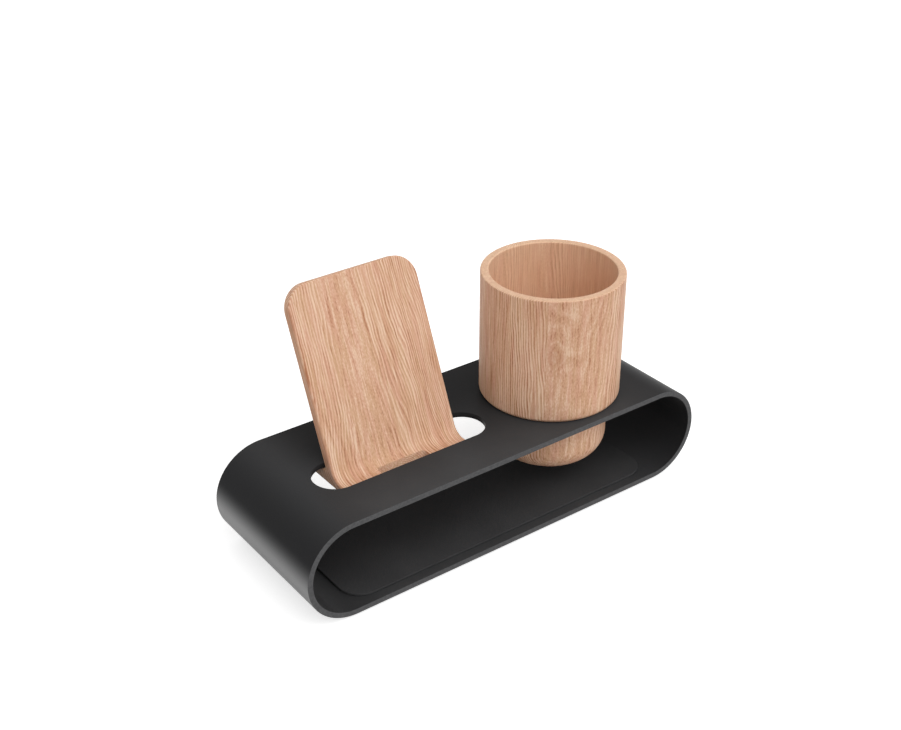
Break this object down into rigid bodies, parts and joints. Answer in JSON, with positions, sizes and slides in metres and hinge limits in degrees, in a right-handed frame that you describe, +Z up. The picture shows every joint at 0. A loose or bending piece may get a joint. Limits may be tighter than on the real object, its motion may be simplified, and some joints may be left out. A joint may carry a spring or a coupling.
{
  "type": "pen and phone stand",
  "caption": "Desk stand: an open loop of black sheet with a lift-out wooden pen cup dropped through its top and a leaning wooden phone cradle rising from a slot.",
  "frame": {"origin": "on the table, under the middle of the part's box", "axes": "+X along the loop from the phone end to the cup end, +Y to the back, +Z up"},
  "size_m": [0.25, 0.089, 0.139],
  "materials": {
    "black_sheet": "fine satin black powder coat, slightly worn to grey along the cut rims",
    "black_mat": "matt black, thin soft sheet",
    "cup_wood": "turned light wood, satin oil, grain upright",
    "cradle_wood": "shaped light wood, satin oil, grain along the lean",
    "screw_steel": "black oxide steel",
    "pad_rubber": "matt black rubber"
  },
  "bodies": {
    "stand": {"loop_base": "black_sheet", "floor_mat": "black_mat", "phone_cradle": "cradle_wood", "cradle_screw_left": "screw_steel", "cradle_screw_right": "screw_steel", "foot_pad_front_left": "pad_rubber", "foot_pad_front_right": "pad_rubber", "foot_pad_back_left": "pad_rubber", "foot_pad_back_right": "pad_rubber"},
    "cup": {"pen_cup": "cup_wood"}
  },
  "joints": [
    {"name": "cup_lift", "type": "slide", "parent": "stand", "child": "cup", "axis": [0, 0, 1], "range_m": [0, 0.045]}
  ]
}
